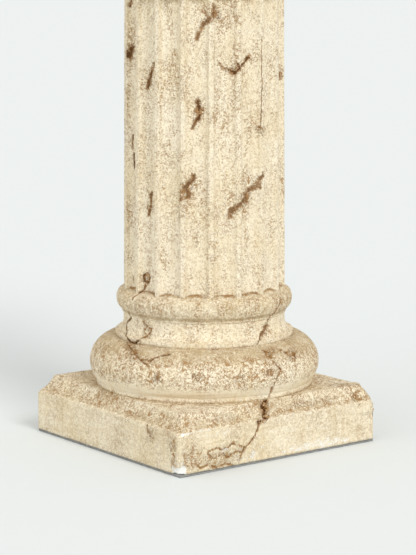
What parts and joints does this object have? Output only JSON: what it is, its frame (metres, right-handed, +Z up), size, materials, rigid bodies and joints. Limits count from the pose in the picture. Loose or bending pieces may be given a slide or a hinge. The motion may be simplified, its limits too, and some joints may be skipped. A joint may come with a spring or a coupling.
{
  "type": "corinthian column",
  "caption": "Decorative cast plaster column with a square plinth, rounded base mouldings, a fluted shaft and a leafy capital with corner scrolls under a flat top.",
  "frame": {"origin": "middle of the base board's underside, on the floor", "axes": "+Z up along the column's axis; X and Y along the sides of the square plinth"},
  "size_m": [0.31, 0.31, 0.8],
  "materials": {
    "plaster": "matt cream plaster, cracked, pitted and stained brown",
    "grey_board": "matt grey hardboard"
  },
  "bodies": {
    "root": {"base_board": "grey_board", "column": "plaster", "capital": "plaster"}
  },
  "joints": []
}
